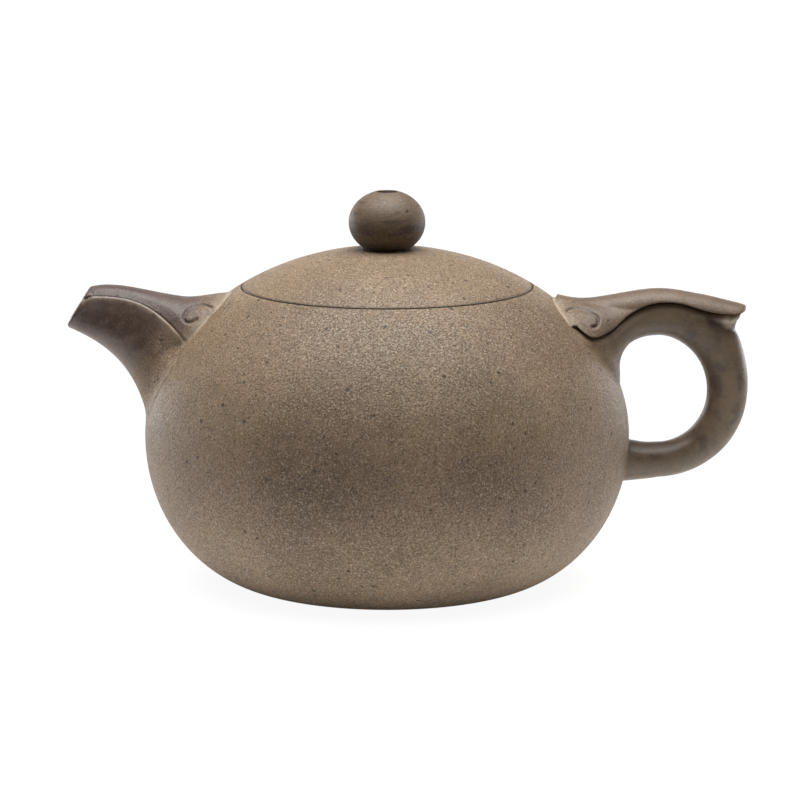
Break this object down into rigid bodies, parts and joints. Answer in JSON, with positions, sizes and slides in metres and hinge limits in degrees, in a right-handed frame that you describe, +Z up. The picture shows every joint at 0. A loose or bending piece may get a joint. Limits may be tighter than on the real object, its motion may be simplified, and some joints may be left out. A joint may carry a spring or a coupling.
{
  "type": "teapot",
  "caption": "Squat unglazed stoneware teapot: flush inlaid lid that lifts off, bead knob with an air hole, short spout with a ball strainer, ring handle, raised ruyi bands",
  "frame": {"origin": "on the pot's axis of revolution, in the plane of the flat base that it stands on", "axes": "+Z up along the pot's axis, +X from the spout towards the handle, so the spout points to -X"},
  "size_m": [0.1455, 0.104, 0.0844],
  "materials": {
    "body_clay": "matte, unglazed, with fine sandy grain",
    "lid_clay": "matte, unglazed, with fine sandy grain",
    "burnished_clay": "satin, burnished by hand",
    "band_clay": "satin, burnished by hand",
    "knob_clay": "satin, burnished by hand"
  },
  "bodies": {
    "pot": {"body_shell": "body_clay", "base_disc": "body_clay", "mouth_ring": "body_clay", "strainer_dome": "body_clay", "spout": "burnished_clay", "spout_ruyi_band": "band_clay", "handle_loop": "burnished_clay", "handle_ruyi_band": "band_clay"},
    "lid": {"lid_plate": "lid_clay", "lid_flange": "lid_clay", "knob": "knob_clay"}
  },
  "joints": [
    {"name": "lid_lift", "type": "slide", "parent": "pot", "child": "lid", "axis": [0, 0, 1], "range_m": [0, 0.08]}
  ]
}
